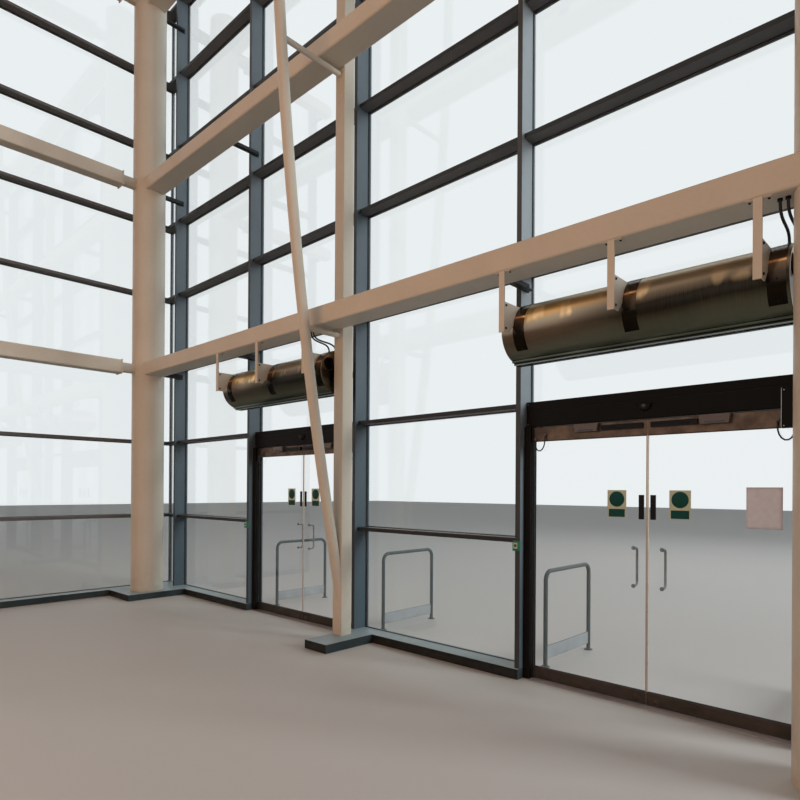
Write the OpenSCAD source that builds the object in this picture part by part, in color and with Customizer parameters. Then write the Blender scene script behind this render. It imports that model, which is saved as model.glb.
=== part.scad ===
// Glazed entrance corner with two pairs of automatic swing doors.
// Millimetres. X runs along the front wall, +Y is the street side, Z is up.

/* [Curtain wall] */
// Width of a bay, centre to centre of its mullions
bay_w = 2200; // [2000:50:2500]
// Height of one row of glass, centre to centre of its transoms
row_h = 1224; // [1100:1:1230]
// Height of the grid's zero line over the floor
row_base = 20; // [0:5:80]
// Face width of a mullion
bar_w = 50; // [40:2:70]
// Face height of a transom
transom_w = 42; // [36:2:50]
// Depth of a mullion on the room side of the glass
mullion_d = 180; // [150:5:220]
// Depth of a transom on the room side of the glass
transom_d = 135; // [120:5:175]
// Thickness of a glass unit
glass_t = 28; // [20:1:36]
// Thickness of the web that passes between two panes
web_t = 10; // [6:1:16]
// Depth of the cap on the street side
cap_d = 30; // [15:1:50]
// Distance from the first mullion to the corner's glass line
corner_w = 510; // [400:10:700]
// Length of the return wall from the front glass line
return_l = 3000; // [2600:50:3600]

/* [Sills] */
// Height of the sills and plinths
sill_h = 92; // [70:2:140]
// Projection of the sills into the room from the glass line
sill_d = 210; // [190:5:260]
// Width of the post's plinth
post_plinth_w = 350; // [260:10:500]
// Distance from the glass line to the front of the post's plinth
post_plinth_d = 870; // [800:10:1000]
// Distance from the glass line to the front of the column's plinth
column_plinth_d = 1090; // [950:10:1300]
// Projection of the column's plinth past the first mullion's line
column_plinth_x = 420; // [360:10:600]

/* [Steelwork] */
// Diameter of the round columns
column_d = 480; // [400:5:560]
// Distance from the glass line to the columns' axes
column_y = 650; // [600:10:700]
// Offset of the left column's axis from the first mullion
column_x = 60; // [20:5:120]
// Gap from the last mullion's centre line to the right column
right_column_gap = 5; // [0:5:150]
// Depth of a beam, front to back
beam_d = 300; // [240:10:340]
// Height of a beam
beam_h = 200; // [150:5:260]
// Outer corner radius of the beams
beam_r = 20; // [8:1:30]
// Height of the lowest beam's underside
low_beam_z = 3460; // [3350:10:3700]
// Distance from the wall's head to the top beam's top
head_gap = 405; // [250:5:600]
// Width of the return wall's beams
return_beam_w = 200; // [140:5:240]
// Gap from the left column to the end cap of a return beam
stub_l = 200; // [100:5:300]
// Side of the square post
post_w = 150; // [120:5:180]
// Offset of the post's left side from the third mullion's centre
post_x = 15; // [0:5:60]
// Diameter of the bowed tube
bow_d = 114; // [90:2:140]
// Distance that the bowed tube stands out from the post at the top
bow_rise = 900; // [600:10:1000]
// Height where the bowed tube meets the post
bow_foot_z = 780; // [600:10:1000]
// Height of a wall bracket's arm over its beam's underside
arm_z = 45; // [30:5:60]
// Height of a wall bracket's arm
arm_h = 80; // [60:5:100]
// Diameter of the struts between the post and the bowed tube
strut_d = 60; // [40:2:80]

/* [Doors] */
// Height of the operator casing's underside
header_z = 2275; // [2200:5:2350]
// Height of the operator casing
header_h = 225; // [180:5:260]
// Depth of the operator casing
header_d = 120; // [100:5:140]
// Distance from the glass line to the casing's front
header_front = 80; // [72:2:90]
// Distance from the glass line to the centre of the leaves
leaf_y = 60; // [50:2:80]
// Width of the jamb profile at the left of a doorway
left_jamb_w = 65; // [30:5:80]
// Width of the jamb profile at the right of a doorway
right_jamb_w = 30; // [20:5:80]
// Depth of a jamb profile
jamb_d = 110; // [90:5:130]
// Gap between a leaf and its jamb
jamb_gap = 10; // [8:1:16]
// Gap between the meeting edges of two leaves
meeting_gap = 8; // [6:1:14]
// Distance from a leaf's hanging edge to its pivot
pivot_in = 65; // [50:1:90]
// Thickness of the leaves' rails
rail_t = 36; // [30:1:44]
// Height of the leaves' bottom rails
rail_h = 100; // [80:2:130]
// Height of the leaves' top rails
top_rail_h = 122; // [90:2:140]
// Thickness of the leaves' glass
leaf_glass_t = 12; // [8:1:15]
// Height of the leaves' underside over the floor
leaf_z = 15; // [14:1:20]
// Gap between the top of the leaves and the casing
leaf_top_gap = 10; // [6:1:16]
// Diameter of the pivot pins
pin_d = 20; // [14:1:24]
// Length of a pivot pin inside a rail
pin_l = 40; // [25:1:50]
// Height of the threshold strip
threshold_h = 8; // [4:1:9]
// Width of the threshold strip, front to back
threshold_d = 120; // [100:5:160]

/* [Handles] */
// Length of a pull handle, between its legs' axes
handle_l = 305; // [250:5:450]
// Height of a handle's middle over the floor
handle_z = 1090; // [950:10:1200]
// Distance from the meeting edge to a handle
handle_x = 108; // [80:2:160]
// Diameter of the handle's grip
handle_d = 20; // [16:1:28]
// Radius of the handle's bends
handle_r = 32; // [24:1:40]
// Clear finger gap between a handle and the glass
finger_gap = 65; // [50:1:75]

/* [Air curtains] */
// Diameter of an air curtain's drum
drum_d = 472; // [400:4:500]
// Gap from a drum's right end to the next mullion's centre line
drum_gap = 15; // [10:5:100]
// Height of the drums' axis
drum_z = 3018; // [2950:2:3080]
// Distance from the glass line to the drums' axis
drum_y = 425; // [425:5:480]
// Distance from a door bay's mullion to the left end of its drum
drum_x = 140; // [130:5:160]
// Distance from a door bay's mullions to its outer hangers, before their shift
hanger_in = 193; // [150:1:400]
// Shift of a drum's hangers from the middle of its bay
hanger_shift = 37; // [0:1:40]
// Width of a hanger bar
hanger_w = 50; // [40:2:80]
// Thickness of a hanger bar
hanger_t = 12; // [8:1:16]

/* [Guard rails] */
// Height of a guard rail
guard_h = 940; // [850:10:1100]
// Length of a guard rail, centre to centre of its legs
guard_l = 900; // [800:10:1100]
// Distance from the glass line to a guard rail's first leg
guard_y = 330; // [250:10:450]
// Diameter of the guard rails' tube
guard_d = 42; // [34:1:50]
// Radius of the guard rails' bends
guard_r = 90; // [60:5:150]

/* [Hidden] */
$fn = 64;
rows = 8;
bays = 4;
door_bays = [2, 4];
pin_clear = 0.05;
eps = 1;
fit = 0.3;
wall_h = row_base + rows * row_h + transom_w / 2;
wall_l = bays * bay_w;
cap_y = glass_t + cap_d;
top_beam_z = wall_h - head_gap - beam_h;
beam_zs = [low_beam_z, (low_beam_z + top_beam_z) / 2, top_beam_z];
beam_front = -column_y - beam_d / 2;
beam_back = -column_y + beam_d / 2;
right_x = wall_l + right_column_gap + column_d / 2;
post_x0 = 2 * bay_w + post_x;
post_mid = post_x0 + post_w / 2;
leaf_w = (bay_w - bar_w - left_jamb_w - right_jamb_w - 2 * jamb_gap - meeting_gap) / 2;
leaf_top = header_z - leaf_top_gap;
header_y = [-header_front, header_d - header_front];
drum_l = bay_w - drum_x - drum_gap;
// Room's side, the wall's ends and the guard rails set the box around the whole part
box_x = [-corner_w - cap_y, right_x + column_d / 2];
box_y = [-return_l - bar_w / 2, guard_y + guard_l + guard_d / 2];
origin = [(box_x[0] + box_x[1]) / 2, (box_y[0] + box_y[1]) / 2, 0];

wall_grey = [0.24, 0.29, 0.31];
steel_white = [0.86, 0.83, 0.76];
glass_tint = [0.75, 0.85, 0.85, 0.35];
casing_black = [0.1, 0.09, 0.08];
bronze = [0.28, 0.2, 0.15];
stainless = [0.72, 0.7, 0.66];
guard_grey = [0.45, 0.52, 0.55];

function mullion_x(i) = (i - 1) * bay_w;
function row_z(r) = row_base + r * row_h;

// Puts the origin at the middle of the part's footprint
module placed() {
    translate(-origin) children();
}

module box(x, y, z) {
    translate([x[0], y[0], z[0]]) cube([x[1] - x[0], y[1] - y[0], z[1] - z[0]]);
}

// A square outline with round corners, centred
module round_square(w, h, r) {
    square([w - 2 * r, h], center = true);
    square([w, h - 2 * r], center = true);
    for (sx = [-1, 1], sy = [-1, 1])
        translate([sx * (w / 2 - r), sy * (h / 2 - r)]) circle(r);
}

// Extrudes an outline drawn in X and Y along the part's X axis, as Y and Z
module along_x(x0, x1) {
    translate([x0, 0, 0]) rotate([90, 0, 90]) linear_extrude(x1 - x0) children();
}

// Room side of a bar's section
module bar_box(depth, w) {
    translate([-w / 2, -depth]) square([w, depth]);
}

// Web between the panes and cap on the street side of a bar's section
module bar_cap(w) {
    translate([-web_t / 2, 0]) square([web_t, glass_t + eps]);
    translate([-w / 2, glass_t]) square([w, cap_d]);
}

module bar_outline(depth, w) {
    bar_box(depth, w);
    bar_cap(w);
    translate([-web_t / 2, -eps]) square([web_t, 2 * eps]);
}

module mullions() {
    color(wall_grey) placed() for (i = [1:bays + 1]) {
        base = i > bays ? 0 : sill_h;
        translate([mullion_x(i), 0, base]) linear_extrude(wall_h - base) bar_outline(mullion_d, bar_w);
    }
}

module corner_mullion() {
    color(wall_grey) placed()
        box([-corner_w - cap_y, -corner_w], [0, cap_y], [0, wall_h]);
}

module return_mullion() {
    color(wall_grey) placed() translate([-corner_w, -return_l, 0])
        rotate([0, 0, 90]) linear_extrude(wall_h) bar_outline(mullion_d, bar_w);
}

function is_door_bay(i) = len(search(i, door_bays)) > 0;

// Transoms of one stretch of the front wall, from row r0 to the head
module transoms(x0, x1, r0) {
    color(wall_grey) placed() for (r = [r0:rows])
        translate([0, 0, row_z(r)]) along_x(x0, x1) mirror([1, -1]) bar_outline(transom_d, transom_w);
}

module transoms_front() {
    for (i = [1:bays])
        transoms(mullion_x(i) + bar_w / 2, mullion_x(i + 1) - bar_w / 2, is_door_bay(i) ? 3 : 1);
}

module transoms_return() {
    x0 = -return_l + bar_w / 2;
    color(wall_grey) placed() for (r = [1:rows])
        translate([-corner_w, 0, row_z(r)]) rotate([0, 0, 90]) {
            along_x(x0, -transom_d) mirror([1, -1]) bar_outline(transom_d, transom_w);
            along_x(-transom_d - eps, 0) mirror([1, -1]) bar_cap(transom_w);
        }
}

// Panes of one stretch: the lowest stands on base_z, the others between webs
module panes(x0, x1, r0, base_z) {
    for (r = [r0:rows - 1]) {
        z0 = r == r0 ? base_z : row_z(r) + web_t / 2;
        box([x0, x1], [0, glass_t], [z0, row_z(r + 1) - web_t / 2]);
    }
}

module glass_front() {
    color(glass_tint) placed() for (i = [1:bays]) {
        base = is_door_bay(i) ? header_z + header_h : sill_h;
        panes(mullion_x(i) + web_t / 2, mullion_x(i + 1) - web_t / 2, is_door_bay(i) ? 2 : 0, base);
    }
}

module glass_corner() {
    color(glass_tint) placed() panes(-corner_w, -web_t / 2, 0, sill_h);
}

module glass_return() {
    color(glass_tint) placed() translate([-corner_w, 0, 0]) rotate([0, 0, 90])
        panes(-return_l + web_t / 2, 0, 0, sill_h);
}

module sills_front() {
    ends = [[-corner_w, mullion_x(2) + bar_w / 2],
            [mullion_x(3) - bar_w / 2, mullion_x(4) + bar_w / 2]];
    color(wall_grey) placed() for (x = ends) box(x, [-sill_d, cap_y], [0, sill_h]);
}

module sill_return() {
    color(wall_grey) placed() {
        box([-corner_w - cap_y, -corner_w + sill_d], [-return_l + bar_w / 2, -sill_d], [0, sill_h]);
        box([-corner_w - cap_y, -corner_w], [-sill_d, 0], [0, sill_h]);
    }
}

module column_plinth() {
    color(wall_grey) placed() box([-corner_w + sill_d, column_plinth_x],
                                  [-column_plinth_d, -sill_d], [0, sill_h]);
}

module post_plinth() {
    color(wall_grey) placed() box([mullion_x(3), mullion_x(3) + post_plinth_w],
                                  [-post_plinth_d, -sill_d], [0, sill_h]);
}

module column_left() {
    color(steel_white) placed() translate([column_x, -column_y, sill_h])
        cylinder(h = wall_h - sill_h, d = column_d);
}

module column_right() {
    color(steel_white) placed() translate([right_x, -column_y, 0])
        cylinder(h = wall_h, d = column_d);
}

module post() {
    color(steel_white) placed() translate([post_mid, beam_back + post_w / 2, sill_h])
        linear_extrude(top_beam_z + beam_h - sill_h) round_square(post_w, post_w, beam_r / 2);
}

bow_top_z = top_beam_z + beam_h / 2;
bow_span = bow_top_z - bow_foot_z;
bow_radius = (bow_span * bow_span + bow_rise * bow_rise) / (2 * bow_rise);
// Angle of the bowed tube from the vertical at a height
function bow_lean(z) = asin((bow_top_z - z) / bow_radius);
// How far the bowed tube's axis stands out from the post at a height
function bow_out(z) = bow_rise - bow_radius * (1 - cos(bow_lean(z)));

// A straight length of tube along the bowed tube's axis at a height, thicker by more
module bow_length(z, down, up, more) {
    translate([post_mid, beam_back - bow_out(z), z]) rotate([bow_lean(z), 0, 0])
        translate([0, 0, -down]) cylinder(h = down + up, d = bow_d + more);
}

// The tube is one arc, welded into a straight foot that is cut off at the post's face
module bow_tube() {
    bend_z = bow_foot_z + 5 * bow_d;
    foot_l = bow_out(bend_z) / sin(bow_lean(bend_z));
    color(steel_white) placed() {
        translate([post_mid, beam_back - bow_rise + bow_radius, bow_top_z]) rotate([-90, 0, -90])
            rotate_extrude(angle = bow_lean(bend_z - bow_d), $fn = 720)
                translate([bow_radius, 0]) circle(d = bow_d);
        difference() {
            bow_length(bend_z, foot_l + 4 * bow_d, 0, 2);
            box([post_mid - bow_d, post_mid + bow_d], [beam_back, beam_back + bow_rise],
                [0, bend_z + bow_d]);
        }
    }
}

module bow_struts() {
    color(steel_white) placed() {
        for (z = [beam_zs[0] - strut_d, beam_zs[1] - strut_d])
            strut(z, beam_back);
        strut(bow_top_z - bow_d / 2, beam_front);
    }
}

// One strut from a face at y out to the bowed tube's skin
module strut(z, y) {
    difference() {
        translate([post_mid, y, z]) rotate([90, 0, 0])
            cylinder(h = bow_out(z) - beam_back + y, d = strut_d);
        bow_length(z, bow_d, bow_d, fit);
    }
}

module beams() {
    color(steel_white) placed() for (z = beam_zs) difference() {
        translate([0, -column_y, z + beam_h / 2]) along_x(column_x, right_x)
            round_square(beam_d, beam_h, beam_r);
        for (x = [column_x, right_x])
            translate([x, -column_y, z - eps]) cylinder(h = beam_h + 2 * eps, d = column_d);
    }
}

module return_beams() {
    cap_t = 12;
    cap_lip = 8;
    stub_w = return_beam_w * 0.6;
    end_y = -column_y - column_d / 2 - stub_l;
    color(steel_white) placed() for (z = beam_zs) difference() {
        translate([column_x, 0, z + beam_h / 2]) rotate([90, 0, 0]) {
            translate([0, 0, -end_y]) linear_extrude(return_l + end_y)
                round_square(return_beam_w, beam_h, beam_r);
            translate([0, 0, -end_y]) linear_extrude(cap_t)
                square([return_beam_w + 2 * cap_lip, beam_h + 2 * cap_lip], center = true);
            translate([0, 0, column_y]) linear_extrude(-end_y - column_y)
                round_square(stub_w, beam_h * 0.7, beam_r);
        }
        translate([column_x, -column_y, z - eps]) cylinder(h = beam_h + 2 * eps, d = column_d);
    }
}

strap_t = 2;
saddle_t = 8;
bracket_t = 12;

// Puts a wall bracket's part at each bar that has one: Y from the bar's glass line
module at_brackets() {
    for (z = beam_zs) {
        for (i = [1, 2, 4, 5])
            translate([mullion_x(i) + bar_w / 2, 0, z]) children(0);
        translate([-corner_w, -return_l + bar_w / 2, z]) rotate([0, 0, 90]) children(1);
    }
}

// The room that the columns take, with a little play
module column_room() {
    for (x = [column_x, right_x])
        translate([x, -column_y, 0]) cylinder(h = wall_h, d = column_d + fit);
}

// Plate against the beam's back
module bracket_plate(reach) {
    plate_w = 110;
    lip = 10;
    translate([-bar_w / 2, -reach, arm_z - lip]) cube([plate_w, bracket_t, arm_h + 2 * lip]);
}

// An arm beside the bar: an upright web on a flange
module bracket_arm(reach) {
    flange_w = 70;
    y = -reach + bracket_t;
    translate([0, y, arm_z]) {
        cube([bracket_t, -y - mullion_d / 3, arm_h]);
        cube([flange_w, -y - mullion_d / 2, bracket_t]);
    }
}

return_reach = corner_w + column_x - return_beam_w / 2;

module bracket_plates() {
    color(casing_black) placed() difference() {
        at_brackets() {
            bracket_plate(-beam_back);
            bracket_plate(return_reach);
        }
        column_room();
    }
}

module bracket_arms() {
    color(casing_black) placed() difference() {
        at_brackets() {
            bracket_arm(-beam_back);
            bracket_arm(return_reach);
        }
        column_room();
    }
}

// Operator casings, with the leaves' upper pivot pins
module headers() {
    groove = 4;
    groove_z = header_z + header_h * 2 / 3;
    color(casing_black) placed() for (i = door_bays) difference() {
        union() {
            translate([0, (header_y[0] + header_y[1]) / 2, header_z + header_h / 2])
                along_x(mullion_x(i) + bar_w / 2, mullion_x(i + 1) - bar_w / 2)
                    round_square(header_d, header_h, 6);
            for (side = [0, 1])
                translate([pivot_x(i, side), -leaf_y, leaf_top - pin_l])
                    cylinder(h = pin_l + leaf_top_gap + eps, d = pin_d);
        }
        box([mullion_x(i), mullion_x(i + 1)], [header_y[0] - eps, header_y[0] + groove],
            [groove_z, groove_z + groove]);
    }
}

// Half a dome on the middle of each casing's front
module motion_sensors() {
    r = 55;
    depth = 32;
    top_z = header_z + header_h / 2;
    color(casing_black) placed() for (i = door_bays)
        translate([(mullion_x(i) + mullion_x(i + 1)) / 2, header_y[0], top_z]) intersection() {
            rotate([90, 0, 0]) cylinder(h = depth, r = r);
            translate([0, r / 2, 0]) sphere(r = r * 1.15);
            box([-r, r], [-depth, 0], [-r, 0]);
        }
}

// A box for the wires on the last mullion's side, in front of the casing's end
module end_box() {
    x1 = mullion_x(bays + 1) - bar_w / 2;
    z0 = header_z - 145;
    color(casing_black) placed() box([x1 - 125, x1], [-mullion_d - 5, -mullion_d + 45], [z0, z0 + 268]);
}

// Places of the two pivots of door bay i: side 0 is the left leaf, 1 the right one
function pivot_x(i, side) = side == 0
    ? mullion_x(i) + bar_w / 2 + left_jamb_w + jamb_gap + pivot_in
    : mullion_x(i + 1) - bar_w / 2 - right_jamb_w - jamb_gap - pivot_in;

// A doorway's clear span between its jambs
function doorway(i) =
    [mullion_x(i) + bar_w / 2 + left_jamb_w, mullion_x(i + 1) - bar_w / 2 - right_jamb_w];

module door_jambs() {
    color(casing_black) placed() for (i = door_bays) {
        y = [-leaf_y - jamb_d / 2, -leaf_y + jamb_d / 2];
        box([mullion_x(i) + bar_w / 2, doorway(i)[0]], y, [0, header_z]);
        box([doorway(i)[1], mullion_x(i + 1) - bar_w / 2], y, [0, header_z]);
    }
}

module thresholds() {
    color([0.66, 0.58, 0.54]) placed() for (i = door_bays) {
        box(doorway(i), [-leaf_y - threshold_d / 2, -leaf_y + threshold_d / 2], [0, threshold_h]);
        for (side = [0, 1])
            translate([pivot_x(i, side), -leaf_y, 0]) cylinder(h = leaf_z + pin_l, d = pin_d);
    }
}

// Draws a leaf's part in its own place: local X from the hanging edge, Y across
module leaf_place(i, side) {
    edge = side == 0 ? pivot_x(i, 0) - pivot_in : pivot_x(i, 1) + pivot_in;
    placed() translate([edge, -leaf_y, 0]) mirror([side, 0, 0]) children();
}

glass_seat = 30;
slot_play = 0.3;

module leaf_glass(i, side) {
    color(glass_tint) leaf_place(i, side)
        box([0, leaf_w], [-leaf_glass_t / 2, leaf_glass_t / 2],
            [leaf_z + rail_h - glass_seat, leaf_top - top_rail_h + glass_seat]);
}

// Rail section with the slot that the glass stands in, opening upwards
module rail_outline(h) {
    difference() {
        translate([0, h / 2]) round_square(rail_t, h, 3);
        translate([-leaf_glass_t / 2 - slot_play, h - glass_seat])
            square([leaf_glass_t + 2 * slot_play, glass_seat + eps]);
    }
}

// On a top rail's room side: the operator arm's slide channel and a presence sensor
module rail_fittings() {
    channel = [345, 20, 42];
    sensor_w = 217;
    sensor_h = 66;
    sensor_d = 42;
    slope = 12;
    sensor_x = 410;
    translate([leaf_w - 28 - channel[0], -rail_t / 2 - channel[1], leaf_top - 63])
        cube([channel[0], channel[1] + eps, channel[2]]);
    translate([sensor_x, -rail_t / 2 + eps, leaf_top]) rotate([90, 0, 0])
        linear_extrude(sensor_d + eps)
            polygon([[0, 0], [slope, -sensor_h], [sensor_w - slope, -sensor_h], [sensor_w, 0]]);
}

module leaf_rails(i, side) {
    color(bronze) leaf_place(i, side) {
        difference() {
            translate([0, 0, leaf_z]) along_x(0, leaf_w) rail_outline(rail_h);
            translate([pivot_in, 0, leaf_z - eps]) cylinder(h = pin_l + 2 * eps, d = pin_d + 2 * pin_clear);
        }
        difference() {
            union() {
                translate([0, 0, leaf_top]) along_x(0, leaf_w) mirror([0, 1])
                    rail_outline(top_rail_h);
                rail_fittings();
            }
            translate([pivot_in, 0, leaf_top - pin_l - eps])
                cylinder(h = pin_l + 2 * eps, d = pin_d + 2 * pin_clear);
        }
    }
}

// A tube bent up from the outer face of a bend, seen along X
module quarter_bend(r, d) {
    rotate([90, 0, 90]) rotate_extrude(angle = 90) translate([r, 0]) circle(d = d);
}

// A bent pull handle on the street side, its legs ending in rosettes on the glass
module leaf_handles(i, side) {
    face = leaf_glass_t / 2;
    out = face + finger_gap + handle_d / 2;
    grip = handle_l - 2 * handle_r;
    rosette_t = 5;
    color(stainless) leaf_place(i, side) translate([leaf_w - handle_x, 0, handle_z]) {
        translate([0, out, -grip / 2]) cylinder(h = grip, d = handle_d);
        for (k = [0, 1]) mirror([0, 0, k]) translate([0, 0, grip / 2]) {
            translate([0, out - handle_r, 0]) quarter_bend(handle_r, handle_d);
            translate([0, face, handle_r]) rotate([-90, 0, 0]) {
                cylinder(h = out - handle_r - face, d = handle_d);
                cylinder(h = rosette_t, d = handle_d * 1.6);
            }
        }
    }
}

// A drum with a stepped discharge nozzle along its underside and recessed ends
module air_curtain(i) {
    ledges = [[150, 3], [90, 20]];
    slot_w = 36;
    slot_h = 60;
    lip = 12;
    inlet = [-115, 80];
    inlet_d = 136;
    inlet_depth = 40;
    color(stainless) placed() translate([mullion_x(i) + drum_x, -drum_y, drum_z]) difference() {
        union() {
            rotate([0, 90, 0]) cylinder(h = drum_l, d = drum_d, $fn = 96);
            for (ledge = ledges)
                box([0, drum_l], [-ledge[0] / 2, ledge[0] / 2],
                    [-drum_d / 2 - ledge[1], -drum_d / 4]);
        }
        box([lip, drum_l - lip], [-slot_w / 2, slot_w / 2],
            [-drum_d / 2 - ledges[1][1] - eps, -drum_d / 2 - ledges[1][1] + slot_h]);
        for (x = [-eps, drum_l - lip])
            translate([x, 0, 0]) rotate([0, 90, 0])
                cylinder(h = lip + eps, d = drum_d - 2 * lip, $fn = 96);
        translate([drum_l - lip - inlet_depth, inlet[0], inlet[1]]) rotate([0, 90, 0])
            cylinder(h = inlet_depth + eps, d = inlet_d);
    }
}

// Puts a hanger's part on the drum's axis at each hanger
module at_hangers() {
    for (i = door_bays, k = [-1:1])
        translate([(mullion_x(i) + mullion_x(i + 1)) / 2 + hanger_shift
                       + k * (bay_w / 2 - hanger_in), -drum_y, drum_z]) children();
}

// A bar from the beam's front, its foot under the beam and a plate back to the drum
module drum_hangers() {
    foot = [140, 60, 6];
    tail = 46;
    toe = 62;
    plate_h = 195;
    r = drum_d / 2 + strap_t + fit;
    drop = low_beam_z - drum_z;
    front = beam_front + drum_y;
    back = front + hanger_t;
    color(steel_white) placed() at_hangers() {
        translate([-hanger_w / 2, front, -tail]) cube([hanger_w, hanger_t, drop + tail]);
        translate([-foot[0] / 2, back - eps, drop - foot[2]]) cube([foot[0], foot[1], foot[2]]);
        translate([hanger_w / 2 - saddle_t, 0, 0]) rotate([90, 0, 90]) linear_extrude(saddle_t)
            difference() {
                polygon([[back - eps, -tail], [-r - toe, -tail], [-r, tail / 2],
                         [-r / 2, plate_h], [back - eps, plate_h]]);
                circle(r, $fn = 96);
            }
    }
}

// Wide straps over the drums beside the hangers' plates, with holes for the glands
module drum_straps() {
    strap_w = 104;
    reach = 170;
    r = drum_d / 2;
    color(stainless) placed() difference() {
        at_hangers() translate([hanger_w / 2 - saddle_t, 0, 0]) rotate([0, 90, 0]) difference() {
            cylinder(h = strap_w, r = r + strap_t, $fn = 96);
            translate([0, 0, -eps]) cylinder(h = strap_w + 2 * eps, r = r, $fn = 96);
            translate([reach, -drum_d, -eps]) cube([drum_d, 2 * drum_d, strap_w + 2 * eps]);
        }
        for (i = door_bays, cable = cables) {
            last = cable[1][len(cable[1]) - 1];
            translate([mullion_x(i + 1) + cable_x(cable, i), last[0], drum_z])
                cylinder(h = drum_d, d = gland_d + 2 * fit);
        }
    }
}

// The cables' glands under the beam and on the drum, at a cable's two ends
module cable_glands() {
    sink = 15;
    color(casing_black) placed() for (i = door_bays) translate([mullion_x(i + 1), 0, 0])
        difference() {
            for (cable = cables) translate([cable_x(cable, i), 0, 0]) {
                first = cable[1][0];
                last = cable[1][len(cable[1]) - 1];
                translate([0, first[0], first[1]]) cylinder(h = low_beam_z - first[1], d = gland_d);
                translate([0, last[0], last[1] - gland_l - sink])
                    cylinder(h = gland_l + sink, d = gland_d);
            }
            translate([-bay_w, -drum_y, drum_z]) rotate([0, 90, 0])
                cylinder(h = bay_w, d = drum_d + fit, $fn = 96);
        }
}

cable_d = 18;
gland_l = 15;
gland_d = 30;
// Each cable: its X from the right mullion of each doorway, then its route's Y and Z
cables = [
    [[-158, -62],
     [[-687, 3445], [-687, 3440], [-681, 3407], [-664, 3385], [-639, 3370],
      [-608, 3360], [-574, 3354], [-538, 3349], [-504, 3344], [-473, 3336],
      [-448, 3323], [-431, 3303], [-425, 3274], [-425, 3269]]],
    [[-116, -20],
     [[-688, 3445], [-688, 3440], [-680, 3406], [-659, 3383], [-628, 3368],
      [-589, 3361], [-546, 3357], [-502, 3354], [-459, 3351], [-420, 3343],
      [-389, 3330], [-368, 3307], [-360, 3274], [-360, 3269]]]];

// X of a cable of one doorway, from the doorway's right mullion
function cable_x(cable, i) = cable[0][i == door_bays[0] ? 0 : 1];

// Direction of a route at one of its points: its ends stand upright
function route_way(route, k) = k == 0 || k == len(route) - 1
    ? [0, -1]
    : (route[k + 1] - route[k - 1]) / norm(route[k + 1] - route[k - 1]);

// A round tube swept along a route in the YZ plane
module cable(i, which) {
    sides = 10;
    route = cables[which][1];
    rings = len(route);
    points = [for (k = [0:rings - 1], a = [0:sides - 1])
        let (way = route_way(route, k), turn = a * 360 / sides, across = cable_d / 2 * cos(turn))
            [cable_d / 2 * sin(turn), route[k][0] - across * way[1], route[k][1] + across * way[0]]];
    skin = [for (k = [0:rings - 2], a = [0:sides - 1])
        let (b = (a + 1) % sides)
            [k * sides + a, k * sides + b, (k + 1) * sides + b, (k + 1) * sides + a]];
    first = [for (a = [sides - 1:-1:0]) a];
    last = [for (a = [0:sides - 1]) (rings - 1) * sides + a];
    color(casing_black) placed() translate([mullion_x(i + 1) + cable_x(cables[which], i), 0, 0])
        polyhedron(points, concat([first, last], skin));
}

// A hoop of tube on two legs with a kick plate, in the YZ plane
module guard_rail(x) {
    leg_h = guard_h - guard_d / 2 - guard_r;
    kick_t = 10;
    kick_z = [70, 195];
    translate([x, guard_y, 0]) {
        box([-kick_t / 2, kick_t / 2], [0, guard_l], kick_z);
        for (y = [0, guard_l])
            translate([0, y, 0]) cylinder(h = leg_h, d = guard_d);
        translate([0, guard_r, leg_h + guard_r]) rotate([-90, 0, 0])
            cylinder(h = guard_l - 2 * guard_r, d = guard_d);
        translate([0, guard_r, leg_h]) mirror([0, 1, 0]) quarter_bend(guard_r, guard_d);
        translate([0, guard_l - guard_r, leg_h]) quarter_bend(guard_r, guard_d);
    }
}

module guard_rails() {
    color(guard_grey) placed() for (i = [2:5]) guard_rail(mullion_x(i));
}

module call_points() {
    size = [60, 35, 90];
    call_z = 1200;
    color([0.05, 0.45, 0.25]) placed() for (i = [2, 4])
        translate([mullion_x(i) - size[0] / 2, -mullion_d - size[1], call_z - size[2] / 2])
            cube(size);
}

corner_mullion();
mullions();
return_mullion();
transoms(-corner_w, -bar_w / 2, 1);  // transoms_corner
transoms_front();
transoms_return();
glass_corner();
glass_front();
glass_return();
sills_front();
sill_return();
column_plinth();
post_plinth();
column_left();
column_right();
post();
bow_tube();
bow_struts();
beams();
return_beams();
bracket_plates();
bracket_arms();
headers();
motion_sensors();
end_box();
door_jambs();
thresholds();
air_curtain(2);  // air_curtain_1
air_curtain(4);  // air_curtain_2
drum_hangers();
drum_straps();
cable_glands();
cable(2, 0);  // cable_1_front
cable(2, 1);  // cable_1_rear
cable(4, 0);  // cable_2_front
cable(4, 1);  // cable_2_rear
guard_rails();
call_points();
leaf_glass(2, 0);  // leaf_1_left_glass
leaf_rails(2, 0);  // leaf_1_left_rails
leaf_handles(2, 0);  // leaf_1_left_handles
leaf_glass(2, 1);  // leaf_1_right_glass
leaf_rails(2, 1);  // leaf_1_right_rails
leaf_handles(2, 1);  // leaf_1_right_handles
leaf_glass(4, 0);  // leaf_2_left_glass
leaf_rails(4, 0);  // leaf_2_left_rails
leaf_handles(4, 0);  // leaf_2_left_handles
leaf_glass(4, 1);  // leaf_2_right_glass
leaf_rails(4, 1);  // leaf_2_right_rails
leaf_handles(4, 1);  // leaf_2_right_handles
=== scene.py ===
import math
from itertools import product

import bmesh
import bpy
from mathutils import Matrix, Vector


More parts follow.
